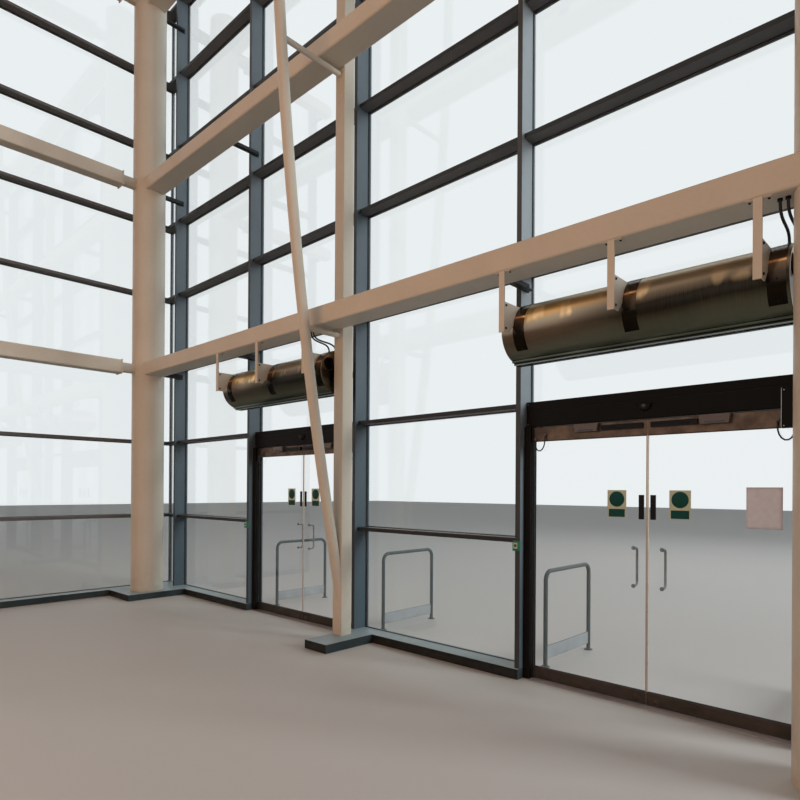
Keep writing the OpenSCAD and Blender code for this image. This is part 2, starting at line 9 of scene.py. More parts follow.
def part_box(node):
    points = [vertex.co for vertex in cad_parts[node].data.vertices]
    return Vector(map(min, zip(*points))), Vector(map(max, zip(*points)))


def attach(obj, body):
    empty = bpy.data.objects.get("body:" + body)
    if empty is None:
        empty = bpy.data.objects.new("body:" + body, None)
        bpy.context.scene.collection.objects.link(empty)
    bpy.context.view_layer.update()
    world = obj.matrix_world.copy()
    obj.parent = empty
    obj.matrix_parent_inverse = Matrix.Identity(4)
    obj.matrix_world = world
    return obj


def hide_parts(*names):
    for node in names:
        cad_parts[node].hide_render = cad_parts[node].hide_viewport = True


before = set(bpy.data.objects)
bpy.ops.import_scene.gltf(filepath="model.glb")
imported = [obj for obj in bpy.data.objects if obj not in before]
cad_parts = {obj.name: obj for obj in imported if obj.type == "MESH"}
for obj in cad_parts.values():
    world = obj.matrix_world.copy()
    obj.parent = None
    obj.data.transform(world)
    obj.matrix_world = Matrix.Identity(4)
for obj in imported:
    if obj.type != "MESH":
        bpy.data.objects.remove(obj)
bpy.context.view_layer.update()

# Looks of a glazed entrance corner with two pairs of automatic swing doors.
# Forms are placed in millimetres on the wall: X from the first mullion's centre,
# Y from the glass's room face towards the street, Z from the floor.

# Curtain wall
BAY = 2200
ROW = 1224
ROW_BASE = 20
ROWS = 8
BAR = 50
TRANSOM_W = 42
MULLION_D = 180
GLASS_T = 28
CORNER = 510
RETURN_L = 3000
SILL_H = 92
DOOR_BAYS = (2, 4)

# Steelwork
BEAM_Z = (3460, 6344, 9228)
BEAM_H = 200
BEAM_BACK = -500
COLUMN_Y = -650
COLUMN_D = 480
LEFT_COLUMN_X = 60
POST_MID = 4490

# Doors
HEADER_Z = 2275
HEADER_H = 225
HEADER_FRONT = -80
HEADER_BACK = 40
LEFT_JAMB = 65
RIGHT_JAMB = 30
JAMB_GAP = 10
LEAF_Y = -60
LEAF_W = 1013.5
LEAF_Z = 15
LEAF_TOP = 2265
LEAF_GLASS = 12
RAIL_T = 36
RAIL_H = 100
TOP_RAIL_H = 122
HANDLE_X = 108
GLASS_FACE = LEAF_GLASS / 2
RAIL_FACE = RAIL_T / 2
GLASS_LOW = LEAF_Z + RAIL_H
GLASS_HIGH = LEAF_TOP - TOP_RAIL_H

# Air curtains
DRUM_Y = -425
DRUM_Z = 3018
DRUM_R = 236
DRUM_X = 140
DRUM_GAP = 15
HANGER_IN = 193
HANGER_SHIFT = 37
HANGER_W = 50

MM = 0.001
SHARP = math.radians(32)

bar_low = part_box("mullions")[0]
glass_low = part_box("glass_front")[0]
ZERO = Vector((bar_low[0] + BAR / 2 * MM, glass_low[1], 0))
WALL = Matrix.Translation(ZERO) @ Matrix.Scale(MM, 4)
RETURN = WALL @ Matrix.Translation((-CORNER, 0, 0)) @ Matrix.Rotation(math.pi / 2, 4, "Z")


def mullion_x(i):
    return (i - 1) * BAY


def row_z(r):
    return ROW_BASE + r * ROW


def leaf_edge(bay, side):
    """X of a leaf's hanging edge: side 0 is the left leaf, 1 the right one."""
    if side == 0:
        return mullion_x(bay) + BAR / 2 + LEFT_JAMB + JAMB_GAP
    return mullion_x(bay + 1) - BAR / 2 - RIGHT_JAMB - JAMB_GAP


def leaf_matrix(bay, side):
    """Place of a leaf: local X runs from the hanging edge, Y across the leaf."""
    flip = Matrix.Diagonal((1 - 2 * side, 1, 1, 1))
    return WALL @ Matrix.Translation((leaf_edge(bay, side), LEAF_Y, 0)) @ flip


def leaf_name(bay, side):
    return f"leaf_{DOOR_BAYS.index(bay) + 1}_{('left', 'right')[side]}"


LEAVES = [(bay, side) for bay in DOOR_BAYS for side in (0, 1)]


# Camera, as fitted to the straight edges of the photograph
def make_camera():
    yaw = math.radians(43.34)
    pitch = math.radians(0.11)
    roll = math.radians(0.35)
    place = Vector((5.2135, -3.993, 1.70))
    ahead = Vector((-math.sin(yaw) * math.cos(pitch), math.cos(yaw) * math.cos(pitch),
                    math.sin(pitch)))
    level = ahead.cross(Vector((0, 0, 1))).normalized()
    rise = level.cross(ahead)
    right = level * math.cos(roll) + rise * math.sin(roll)
    up = rise * math.cos(roll) - level * math.sin(roll)
    data = bpy.data.cameras.new("camera")
    data.lens = 27.18
    data.sensor_width = 36
    data.shift_y = 0.1106
    data.clip_end = 200
    camera = bpy.data.objects.new("camera", data)
    bpy.context.scene.collection.objects.link(camera)
    turn = Matrix((right, up, -ahead)).transposed().to_4x4()
    camera.matrix_world = Matrix.Translation(place) @ turn
    bpy.context.scene.camera = camera


make_camera()


# Materials
class Shade:
    """A node material with a Principled shader, and short ways to add nodes."""

    def __init__(self, name, **uniform):
        self.material = bpy.data.materials.new(name)
        self.material.use_nodes = True
        self.tree = self.material.node_tree
        self.shader = self.tree.nodes["Principled BSDF"]
        for key, value in uniform.items():
            socket = key.replace("_", " ").title().replace("Ior", "IOR")
            self.shader.inputs[socket].default_value = value
        self.place = self.make("TexCoord", out="Object")

    def make(self, kind, sockets=None, out=0, **settings):
        node = self.tree.nodes.new("ShaderNode" + kind)
        for key, value in settings.items():
            setattr(node, key, value)
        for key, value in (sockets or {}).items():
            if isinstance(value, bpy.types.NodeSocket):
                self.tree.links.new(value, node.inputs[key])
            else:
                node.inputs[key].default_value = value
        return node.outputs[out]

    def link(self, socket, name):
        self.tree.links.new(socket, self.shader.inputs[name])

    def scaled(self, factors):
        """Object coordinates, stretched by a factor on each axis."""
        return self.make("Mapping", {"Vector": self.place, "Scale": factors})

    def noise(self, scale, detail=4.0, roughness=0.55, vector=None):
        return self.make("TexNoise", {"Vector": vector or self.place, "Scale": scale,
                                      "Detail": detail, "Roughness": roughness})

    def span(self, value, low, high, start=0.0, end=1.0):
        """Maps a value from low..high to start..end, clamped."""
        return self.make("MapRange", {"Value": value, "From Min": low, "From Max": high,
                                      "To Min": start, "To Max": end})

    def ramp(self, value, stops):
        socket = self.make("ValToRGB", {"Fac": value})
        elements = socket.node.color_ramp.elements
        while len(elements) < len(stops):
            elements.new(0.5)
        for element, (position, colour) in zip(elements, stops):
            element.position = position
            element.color = (*colour, 1)
        return socket

    def mix(self, share, a, b, how="MIX"):
        socket = self.make("Mix", {"Factor": share}, out=2, data_type="RGBA", blend_type=how)
        for index, value in ((6, a), (7, b)):
            if isinstance(value, bpy.types.NodeSocket):
                self.tree.links.new(value, socket.node.inputs[index])
            else:
                socket.node.inputs[index].default_value = (*value, 1)
        return socket

    def calc(self, how, a, b=0.0):
        return self.make("Math", {0: a, 1: b}, operation=how)

    def height(self):
        return self.make("SeparateXYZ", {"Vector": self.place}, out="Z")

    def across(self):
        return self.make("SeparateXYZ", {"Vector": self.place}, out="X")

    def facing(self, axis):
        """The surface normal's share along one axis."""
        normal = self.make("NewGeometry", out="True Normal")
        return self.make("SeparateXYZ", {"Vector": normal}, out=axis)

    def bump(self, height, strength, distance=0.001):
        self.link(self.make("Bump", {"Height": height, "Strength": strength,
                                     "Distance": distance}), "Normal")


def darker(colour, factor):
    return tuple(channel * factor for channel in colour)


def painted(name, colour, roughness=0.4, grain=900, depth=0.12, mottle=0.86, foot=0.0,
            foot_colour=(0.16, 0.14, 0.12), foot_z=0.25, change=0.07, right=None,
            low=None, room_face_shade=None, top_face_light=None, **uniform):
    """Sprayed or powder coated metal: fine grain, soft clouds and dust near the floor; it can also
    paint light and shade: brighter towards +X, darker low down, shade on room-facing faces and
    light on upward faces.
    """
    s = Shade(name, **uniform)
    clouds = s.noise(1.7, 5)
    fine = s.noise(38, 3)
    body = s.mix(s.span(clouds, 0.35, 0.65), darker(colour, mottle), colour)
    body = s.mix(s.span(fine, 0.25, 0.75, 0, 0.3), body, darker(colour, 1.12))
    # Painted daylight: the colour grows brighter towards +X, as if lit from that side.
    if right:
        body = s.mix(s.span(s.across(), 0.5, 2.2), body, right)
    # Painted shade: a darker colour takes over towards the floor.
    if low:
        body = s.mix(s.span(s.height(), 0.5, 3.6, 0.95, 0), body, low)
    # Painted shade on faces turned to the room (-Y), as if lit from the street side.
    if room_face_shade:
        body = s.mix(s.span(s.facing("Y"), -0.95, -0.6, 0.9, 0), body, room_face_shade)
    # Painted light on upward faces, such as a sky reflection on the sills.
    if top_face_light:
        body = s.mix(s.span(s.facing("Z"), 0.6, 0.95, 0, 0.85), body, top_face_light)
    if foot:
        dust = s.span(s.height(), 0.0, foot_z, foot, 0)
        share = s.calc("MULTIPLY", dust, s.span(s.noise(9, 6), 0.3, 0.7))
        body = s.mix(share, body, foot_colour)
    s.link(body, "Base Color")
    rough = s.span(s.noise(14, 4), 0.3, 0.7, roughness - change, roughness + change)
    s.link(rough, "Roughness")
    s.bump(s.noise(grain, 2), depth, 0.0004)
    return s.material


def brushed(name, light, dark, stretch, roughness=0.3, metallic=1.0, depth=0.15, **uniform):
    """Brushed or drawn metal: fine streaks along one axis, and broad soft patches."""
    s = Shade(name, metallic=metallic, **uniform)
    streaks = s.noise(1, 3, 0.7, s.scaled(stretch))
    patches = s.noise(2.3, 4)
    body = s.mix(s.span(patches, 0.35, 0.65), dark, light)
    body = s.mix(s.span(streaks, 0.3, 0.7, 0, 0.35), body, darker(light, 1.15))
    s.link(body, "Base Color")
    s.link(s.span(streaks, 0.3, 0.7, roughness - 0.07, roughness + 0.1), "Roughness")
    s.bump(streaks, depth, 0.0003)
    return s.material


def leaf_metal():
    """Anodised rails of the leaves: coppery at the top, nearly brown-black at the foot."""
    s = Shade("leaf_bronze", metallic=1.0, specular_ior_level=0.3)
    streaks = s.noise(1, 3, 0.7, s.scaled((5, 300, 500)))
    patches = s.noise(7, 5)
    top = s.mix(s.span(patches, 0.38, 0.62), (0.066, 0.038, 0.026), (0.15, 0.085, 0.054))
    low = s.mix(s.span(patches, 0.35, 0.65), (0.05, 0.035, 0.028), (0.08, 0.056, 0.044))
    body = s.mix(s.span(s.height(), 0.3, 1.6), low, top)
    body = s.mix(s.span(streaks, 0.3, 0.7, 0, 0.25), body, (0.17, 0.11, 0.075))
    s.link(body, "Base Color")
    s.link(s.span(streaks, 0.3, 0.7, 0.3, 0.44), "Roughness")
    s.bump(streaks, 0.12, 0.0003)
    return s.material


def drum_share(s):
    """Height on the drum, from 0 at its underside to 1 at its top."""
    return s.span(s.height(), (DRUM_Z - DRUM_R) * MM, (DRUM_Z + DRUM_R) * MM)


def drum_metal():
    """Warm stainless sheet with painted reflections: light and dark bands round the drum, brighter
    at its left end, and painted warm glints on its upper side.
    """
    s = Shade("drum_steel", metallic=1.0)
    turn = drum_share(s)
    waves = s.calc("MULTIPLY_ADD", s.noise(1.6, 1), 0.16)
    waves.node.inputs[2].default_value = -0.08
    level = s.calc("ADD", turn, waves)
    # Painted reflections by height on the drum: near-black bands of the dim room and bright warm
    # bands; the second, darker ramp takes over beyond each drum's left end.
    near = s.ramp(level, [
        (0.0, (0.05, 0.052, 0.036)), (0.06, (0.2, 0.205, 0.15)), (0.27, (0.13, 0.1, 0.07)),
        (0.42, (0.17, 0.11, 0.07)), (0.56, (0.38, 0.28, 0.19)), (0.7, (0.75, 0.38, 0.12)),
        (0.85, (0.42, 0.29, 0.13)), (1.0, (0.34, 0.3, 0.22))])
    far = s.ramp(level, [
        (0.0, (0.04, 0.042, 0.028)), (0.06, (0.15, 0.155, 0.11)), (0.24, (0.09, 0.09, 0.06)),
        (0.36, (0.022, 0.018, 0.011)), (0.5, (0.016, 0.011, 0.007)), (0.62, (0.13, 0.085, 0.052)),
        (0.74, (0.36, 0.235, 0.14)), (0.88, (0.56, 0.43, 0.28)), (1.0, (0.46, 0.4, 0.32))])
    start = ZERO.x + (mullion_x(DOOR_BAYS[0]) + DRUM_X) * MM
    phase = s.calc("MODULO", s.calc("SUBTRACT", s.across(), start), 2 * BAY * MM)
    body = s.mix(s.span(phase, 0.5, 1.1), near, far)
    streaks = s.noise(1, 3, 0.6, s.scaled((160, 5, 5)))
    body = s.mix(s.span(streaks, 0.35, 0.7, 0, 0.04), body, (0.5, 0.42, 0.3))
    # Painted highlights: warm glints in a band on the drum's upper side, fading away from its left
    # end.
    glint_spots = s.noise(1, 1, 0.5, s.scaled((9, 0.1, 5)))
    upper = s.calc("MULTIPLY", s.span(turn, 0.5, 0.6), s.span(turn, 0.78, 0.86, 1, 0))
    upper = s.calc("MULTIPLY", upper, s.span(phase, 0.9, 1.4, 1, 0.2))
    painted_glint = s.calc("MULTIPLY", s.span(glint_spots, 0.56, 0.68, 0, 0.9), upper)
    body = s.mix(painted_glint, body, (1.0, 0.6, 0.28))
    s.link(body, "Base Color")
    s.link(s.span(streaks, 0.3, 0.7, 0.3, 0.34), "Roughness")
    s.bump(streaks, 0.004, 0.0002)
    return s.material


def strap_metal():
    """Polished dark straps, with painted reflections by height and a short painted warm highlight
    across them.
    """
    s = Shade("strap_steel", metallic=1.0)
    level = s.calc("ADD", drum_share(s), s.calc("MULTIPLY", s.noise(9, 2), 0.05))
    # Painted reflections down the straps, with the narrow bright stop at 0.72 as a painted
    # highlight.
    body = s.ramp(level, [
        (0.0, (0.012, 0.01, 0.006)), (0.4, (0.016, 0.012, 0.008)), (0.56, (0.06, 0.038, 0.024)),
        (0.69, (0.16, 0.085, 0.045)), (0.72, (0.95, 0.42, 0.16)), (0.75, (0.15, 0.09, 0.055)),
        (0.86, (0.07, 0.05, 0.036)), (1.0, (0.13, 0.11, 0.085))])
    s.link(body, "Base Color")
    s.link(s.span(s.noise(20, 3), 0.3, 0.7, 0.16, 0.28), "Roughness")
    s.bump(s.noise(160, 2), 0.03, 0.0003)
    return s.material


def clear_glass(name, tint, rough=0.0):
    """Clear float glass that lets the lamps through."""
    s = Shade(name, transmission_weight=1.0, roughness=rough, specular_ior_level=0.25)
    s.shader.inputs["IOR"].default_value = 1.45
    s.shader.inputs["Base Color"].default_value = (*tint, 1)
    haze = s.noise(3, 5)
    s.bump(haze, 0.006, 0.001)
    path = s.make("LightPath", out="Is Shadow Ray")
    clear = s.make("BsdfTransparent", {"Color": (*tint, 1)})
    mixed = s.make("MixShader", {0: path, 1: s.shader.outputs[0], 2: clear})
    output = s.tree.nodes["Material Output"]
    s.tree.links.new(mixed, output.inputs["Surface"])
    return s.material


def plastic(name, colour, roughness=0.35, **uniform):
    """Moulded plastic or rubber with a fine skin."""
    s = Shade(name, **uniform)
    s.link(s.mix(s.span(s.noise(25, 4), 0.3, 0.7), darker(colour, 0.88), colour), "Base Color")
    s.link(s.span(s.noise(60, 3), 0.3, 0.7, roughness - 0.05, roughness + 0.08), "Roughness")
    s.bump(s.noise(1600, 2), 0.1, 0.0003)
    return s.material


# Wall bars: brighter towards +X as painted daylight, darker low down as painted shade, and
# near-black room-facing noses as painted shade; dusty near the floor.
WALL_GREY = painted("wall_grey", (0.115, 0.14, 0.16), 0.42, foot=0.4,
                    right=(0.29, 0.32, 0.345), low=(0.06, 0.088, 0.105),
                    room_face_shade=(0.03, 0.023, 0.019), specular_ior_level=0.35)
# Transoms: near-black room faces as painted shade, and a browner top, lighter than those faces, as
# painted light.
TRANSOM = painted("transom_black", (0.14, 0.14, 0.143), 0.42, change=0.04,
                  room_face_shade=(0.012, 0.011, 0.01), top_face_light=(0.07, 0.055, 0.045),
                  specular_ior_level=0.25)
# Sills and plinths: near-black room faces as painted shade, and a pale blue-grey top as a painted
# sky reflection.
SILL = painted("sill_grey", (0.035, 0.05, 0.056), 0.42, foot=0.15, change=0.04,
               room_face_shade=(0.007, 0.006, 0.005), top_face_light=(0.33, 0.41, 0.43),
               specular_ior_level=0.15)
STEEL_WHITE = painted("steel_white", (0.64, 0.58, 0.49), 0.42, 700, 0.1, 0.93, foot=0.35,
                      foot_colour=(0.3, 0.25, 0.2), foot_z=0.6, specular_ior_level=0.4)
GLASS = clear_glass("glass", (0.955, 0.985, 0.975))
DOOR_GLASS = clear_glass("door_glass", (0.965, 0.985, 0.978))
CASING = painted("casing_black", (0.009, 0.0075, 0.0065), 0.5, 1200, 0.05, 0.85, change=0.02,
                 specular_ior_level=0.08)
BRACKET = painted("bracket_black", (0.022, 0.024, 0.026), 0.45, 700, 0.15,
                  specular_ior_level=0.3)
BRONZE = leaf_metal()
STAINLESS = brushed("stainless", (0.3, 0.31, 0.29), (0.17, 0.18, 0.165), (500, 500, 30), 0.28)
DRUM = drum_metal()
DRUM_END = brushed("drum_end", (0.26, 0.16, 0.1), (0.12, 0.075, 0.05), (90, 4, 4), 0.3,
                   depth=0.05)
THRESHOLD = brushed("threshold", (0.42, 0.33, 0.29), (0.27, 0.21, 0.18), (4, 500, 500), 0.42)
GUARD = painted("guard_grey", (0.055, 0.078, 0.08), 0.42, 500, 0.25, 0.75, foot=0.5)
KICK = painted("kick_plate", (0.34, 0.37, 0.385), 0.45, 500, 0.2, 0.8, foot=0.5)
RUBBER = plastic("rubber", (0.012, 0.012, 0.012), 0.6)
BLACK = plastic("black_plastic", (0.007, 0.006, 0.0055), 0.4, specular_ior_level=0.15)
SPACER = brushed("spacer", (0.42, 0.42, 0.4), (0.33, 0.33, 0.32), (90, 90, 90), 0.35)
GREEN = plastic("green_plastic", (0.01, 0.13, 0.06), 0.35)
SIGN_GREEN = plastic("sign_green", (0.004, 0.06, 0.05), 0.45, specular_ior_level=0.2)
SIGN_WHITE = plastic("sign_white", (0.55, 0.62, 0.46), 0.4)
PAPER = plastic("notice_paper", (0.72, 0.76, 0.9), 0.6)
SENSOR = plastic("sensor_brown", (0.12, 0.095, 0.08), 0.4)
LENS = plastic("lens", (0.03, 0.03, 0.033), 0.08)
EDGE_BRONZE = brushed("edge_bronze", (0.3, 0.2, 0.14), (0.2, 0.13, 0.09), (5, 300, 500), 0.25)
# The clear seal at the meeting edges: its pale colour is a painted highlight of the glass edges; it
# turns darker lower down.
SEAL_PAINTED_HIGHLIGHT = painted("seal_with_painted_highlight", (0.85, 0.84, 0.7), 0.3, low=(0.5, 0.4, 0.33))
LOCK = brushed("lock_steel", (0.1, 0.066, 0.05), (0.055, 0.038, 0.03), (90, 90, 90), 0.3)
LINE_BROWN = brushed("line_brown", (0.05, 0.036, 0.027), (0.03, 0.022, 0.017), (5, 300, 500), 0.35)
COLLAR = strap_metal()


NODE_MATERIALS = {
    "corner_mullion": WALL_GREY, "mullions": WALL_GREY, "return_mullion": WALL_GREY,
    "transoms_corner": TRANSOM, "transoms_front": TRANSOM, "transoms_return": TRANSOM,
    "sills_front": SILL, "sill_return": SILL, "column_plinth": SILL,
    "post_plinth": SILL, "glass_corner": GLASS, "glass_front": GLASS,
    "glass_return": GLASS, "column_left": STEEL_WHITE, "column_right": STEEL_WHITE,
    "post": STEEL_WHITE, "bow_tube": STEEL_WHITE, "bow_struts": STEEL_WHITE,
    "beams": STEEL_WHITE, "return_beams": STEEL_WHITE, "bracket_plates": BRACKET,
    "bracket_arms": BRACKET, "headers": CASING, "motion_sensors": BLACK, "end_box": CASING,
    "door_jambs": CASING, "thresholds": THRESHOLD, "air_curtain_1": DRUM,
    "air_curtain_2": DRUM, "drum_hangers": STEEL_WHITE, "drum_straps": COLLAR,
    "cable_glands": BLACK, "cable_1_front": RUBBER, "cable_1_rear": RUBBER,
    "cable_2_front": RUBBER, "cable_2_rear": RUBBER, "guard_rails": GUARD,
    "call_points": GREEN,
}
for leaf in (leaf_name(*place) for place in LEAVES):
    NODE_MATERIALS[leaf + "_glass"] = DOOR_GLASS
    NODE_MATERIALS[leaf + "_rails"] = BRONZE
    NODE_MATERIALS[leaf + "_handles"] = STAINLESS

for node_name, node_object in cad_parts.items():
    node_object.data.materials.clear()
    node_object.data.materials.append(NODE_MATERIALS[node_name])


# Meshes
class Kit:
    """Collects forms, placed in millimetres, into the mesh of one piece."""

    def __init__(self, matrix=WALL):
        self.matrix = matrix
        self.points = []
        self.faces = []

    def add(self, points, faces):
        base = len(self.points)
        self.points += [self.matrix @ Vector(point) for point in points]
        self.faces += [[base + k for k in face] for face in faces]

    def box(self, x, y, z, chamfer=1.0):
        """A block between two limits on each axis, with chamfered edges."""
        spans = (sorted(x), sorted(y), sorted(z))
        cut = min([chamfer] + [(high - low) * 0.3 for low, high in spans])
        index = {}
        points = []
        for corner in product((0, 1), repeat=3):
            for axis in range(3):
                index[corner, axis] = len(points)
                points.append([spans[k][corner[k]] + (0 if k == axis else (cut, -cut)[corner[k]])
                               for k in range(3)])

        def at(axis, side, a, b):
            corner = [a, b]
            corner.insert(axis, side)
            return tuple(corner)

        faces = []
        for axis in range(3):
            first, second = (k for k in range(3) if k != axis)
            for side in (0, 1):
                faces.append([index[at(axis, side, a, b), axis]
                              for a, b in ((0, 0), (1, 0), (1, 1), (0, 1))])
            for a, b in product((0, 1), repeat=2):
                ends = (at(axis, 0, a, b), at(axis, 1, a, b))
                faces.append([index[ends[0], first], index[ends[1], first],
                              index[ends[1], second], index[ends[0], second]])
        for corner in product((0, 1), repeat=3):
            faces.append([index[corner, axis] for axis in range(3)])
        self.add(points, faces)

    def turned(self, start, way, profile, sides=24, ring=False):
        """A turned body: its profile gives distances along an axis and radii."""
        way = Vector(way).normalized()
        across = way.orthogonal().normalized()
        other = way.cross(across)
        turns = [k * math.tau / sides for k in range(sides)]
        points = [Vector(start) + way * along
                  + (across * math.cos(turn) + other * math.sin(turn)) * radius
                  for along, radius in profile for turn in turns]
        count = len(profile)
        faces = []
        for row in range(count if ring else count - 1):
            low = row * sides
            high = (row + 1) % count * sides
            faces += [[low + k, low + (k + 1) % sides, high + (k + 1) % sides, high + k]
                      for k in range(sides)]
        if not ring:
            faces += [list(range(sides)), [(count - 1) * sides + k for k in range(sides)]]
        self.add(points, faces)

    def tube(self, route, radius, sides=12):
        """A round tube swept along a route, closed at its ends."""
        route = [Vector(point) for point in route]
        points = []
        across = None
        for k, point in enumerate(route):
            way = (route[min(k + 1, len(route) - 1)] - route[max(k - 1, 0)]).normalized()
            across = way.orthogonal() if across is None else across - way * across.dot(way)
            across.normalize()
            other = way.cross(across)
            for j in range(sides):
                turn = j * math.tau / sides
                points.append(point + (across * math.cos(turn) + other * math.sin(turn)) * radius)
        faces = [[k * sides + j, k * sides + (j + 1) % sides, (k + 1) * sides + (j + 1) % sides,
                  (k + 1) * sides + j] for k in range(len(route) - 1) for j in range(sides)]
        faces += [list(range(sides)), [(len(route) - 1) * sides + j for j in range(sides)]]
        self.add(points, faces)

    def bolt(self, place, way, size=8):
        """A hexagon head on its washer."""
        self.turned(place, way, [(0, size * 1.15), (size * 0.2, size * 1.15), (size * 0.25, size)],
                    20)
        start = Vector(place) + Vector(way).normalized() * size * 0.25
        self.turned(start, way, [(0, size * 0.85), (size * 0.5, size * 0.85),
                                 (size * 0.62, size * 0.7)], 6)

    def screw(self, place, way, radius=6):
        """A low round screw head with a dimple."""
        self.turned(place, way, [(0, radius), (radius * 0.25, radius), (radius * 0.5, radius * 0.7),
                                 (radius * 0.5, radius * 0.3), (radius * 0.2, radius * 0.25)], 16)

    def slab(self, outline, y, lean=2.0):
        """A plate whose outline is drawn in X and Z; its face at the first Y leans in."""
        centre = Vector((sum(p[0] for p in outline), sum(p[1] for p in outline))) / len(outline)
        count = len(outline)
        points = []
        depths = ((y[0], lean), (y[0] + math.copysign(lean, y[1] - y[0]), 0), (y[1], 0))
        for depth, inset in depths:
            for x, z in outline:
                away = Vector((x, z)) - centre
                held = centre + away * (1 - inset / away.length)
                points.append((held[0], depth, held[1]))
        faces = [[row * count + k, row * count + (k + 1) % count,
                  (row + 1) * count + (k + 1) % count, (row + 1) * count + k]
                 for row in range(2) for k in range(count)]
        faces += [list(range(count)), list(range(2 * count, 3 * count))]
        self.add(points, faces)

    def done(self, name, material, body="wall", slot=None, smooth=True):
        mesh = bpy.data.meshes.new(name)
        mesh.from_pydata(self.points, [], self.faces)
        shell = bmesh.new()
        shell.from_mesh(mesh)
        bmesh.ops.recalc_face_normals(shell, faces=shell.faces)
        shell.to_mesh(mesh)
        shell.free()
        if smooth:
            mesh.shade_smooth()
            mesh.set_sharp_from_angle(angle=SHARP)
        mesh.materials.append(material)
        piece = bpy.data.objects.new(name, mesh)
        bpy.context.scene.collection.objects.link(piece)
        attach(piece, body)
        return piece


def rounded(corners, radius, steps=6):
    """A route through corners, its bends as arcs of a radius."""
    corners = [Vector(corner) for corner in corners]
    route = [corners[0]]
    for before, corner, after in zip(corners, corners[1:], corners[2:]):
        come = (before - corner).normalized()
        leave = (after - corner).normalized()
        half = come.angle(leave) / 2
        reach = radius / math.tan(half)
        centre = corner + (come + leave).normalized() * radius / math.sin(half)
        start = corner + come * reach - centre
        end = corner + leave * reach - centre
        sweep = start.angle(end)
        for k in range(steps + 1):
            share = k / steps
            route.append(centre + (start * math.sin((1 - share) * sweep)
                                   + end * math.sin(share * sweep)) / math.sin(sweep))
    return route + [corners[-1]]


# Cables of the air curtains: X from the doorway's right mullion, then Y and Z
CABLE_D = 18
CABLES = {
    "front": ((-158, -62),
              [(-687, 3445), (-687, 3440), (-681, 3407), (-664, 3385), (-639, 3370),
               (-608, 3360), (-574, 3354), (-538, 3349), (-504, 3344), (-473, 3336),
               (-448, 3323), (-431, 3303), (-425, 3274), (-425, 3269)]),
    "rear": ((-116, -20),
             [(-688, 3445), (-688, 3440), (-680, 3406), (-659, 3383), (-628, 3368),
               (-589, 3361), (-546, 3357), (-502, 3354), (-459, 3351), (-420, 3343),
               (-389, 3330), (-368, 3307), (-360, 3274), (-360, 3269)]),
}


def make_cord(name, points, diameter, body):
    """A cable through its points; it ends on the object."""
    curve = bpy.data.curves.new(name, "CURVE")
    curve.dimensions = "3D"
    curve.bevel_depth = diameter / 2 * MM
    curve.bevel_resolution = 4
    curve.use_fill_caps = True
    spline = curve.splines.new("POLY")
    spline.points.add(len(points) - 1)
    for target, point in zip(spline.points, points):
        target.co = (*point, 1)
    spline.use_smooth = True
    curve.materials.append(RUBBER)
    piece = bpy.data.objects.new(curve.name, curve)
    bpy.context.scene.collection.objects.link(piece)
    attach(piece, body)
    return piece


def make_cable(number, which):
    offsets, route = CABLES[which]
    x = mullion_x(DOOR_BAYS[number - 1] + 1) + offsets[number - 1]
    points = [WALL @ Vector((x, y, z)) for y, z in route]
    piece = make_cord(f"feed_cable_{number}_{which}", points, CABLE_D, "wall")
    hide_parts(f"cable_{number}_{which}")


# Cable loops of the leaves' sensors: u from the hanging edge, then Y and Z
LOOP_D = 11
LOOP = [(124, -27, 2192), (124, -33, 2176), (124, -36, 2150), (121, -36, 2120),
        (113, -36, 2092), (99, -36, 2069), (80, -36, 2055), (60, -35, 2055), (43, -33, 2066),
        (32, -30, 2086), (27, -28, 2112), (26, -26, 2140), (26, -26, 2152)]


def make_loop(bay, side):
    matrix = leaf_matrix(bay, side)
    name = leaf_name(bay, side)
    points = [matrix @ Vector(point) for point in LOOP]
    make_cord(name + "_sensor_loop", points, LOOP_D, name)
    kit = Kit(matrix)
    for u, z in ((124, 2196), (26, 2158)):
        kit.turned((u, -RAIL_FACE, z), (0, -1, 0), [(0, 11), (12, 11), (14, 9), (14, 4)], 24)
    kit.done(name + "_loop_clips", SENSOR, name, "bronze")


for cable in product((1, 2), CABLES):
    make_cable(*cable)


# Curtain wall trim
def stretches():
    """Each stretch of panes: its place, its two X limits, its lowest glass edge and row."""
    for bay in range(1, 5):
        limits = (mullion_x(bay) + BAR / 2, mullion_x(bay + 1) - BAR / 2)
        if bay in DOOR_BAYS:
            yield WALL, limits, HEADER_Z + HEADER_H, 2
        else:
            yield WALL, limits, SILL_H, 0
    yield WALL, (-CORNER, -BAR / 2), SILL_H, 0
    yield RETURN, (-RETURN_L + BAR / 2, 0), SILL_H, 0


def panes():
    for matrix, x, base, first in stretches():
        for r in range(first, ROWS):
            low = base if r == first else row_z(r) + TRANSOM_W / 2
            yield matrix, x, (low, row_z(r + 1) - TRANSOM_W / 2)


def frame_strips(kit, x, z, y, width):
    """Four strips along the edges of an opening."""
    kit.box((x[0], x[0] + width), y, z, 0.6)
    kit.box((x[1] - width, x[1]), y, z, 0.6)
    for low, high in ((z[0], z[0] + width), (z[1] - width, z[1])):
        kit.box((x[0] + width, x[1] - width), y, (low, high), 0.6)


def make_gaskets():
    gasket = 5
    spacer = 7
    seals = Kit()
    lines = Kit()
    for matrix, x, z in panes():
        seals.matrix = lines.matrix = matrix
        frame_strips(seals, x, z, (-5, -0.2), gasket)
        frame_strips(seals, x, z, (GLASS_T + 0.2, GLASS_T + 5), gasket)
        inner_x = (x[0] + gasket, x[1] - gasket)
        inner_z = (z[0] + gasket, z[1] - gasket)
        frame_strips(lines, inner_x, inner_z, (-1.2, -0.2), spacer)
    seals.done("pane_gaskets", RUBBER, slot="rubber")
    lines.done("pane_edge_lines", SPACER, slot="stainless")


make_gaskets()


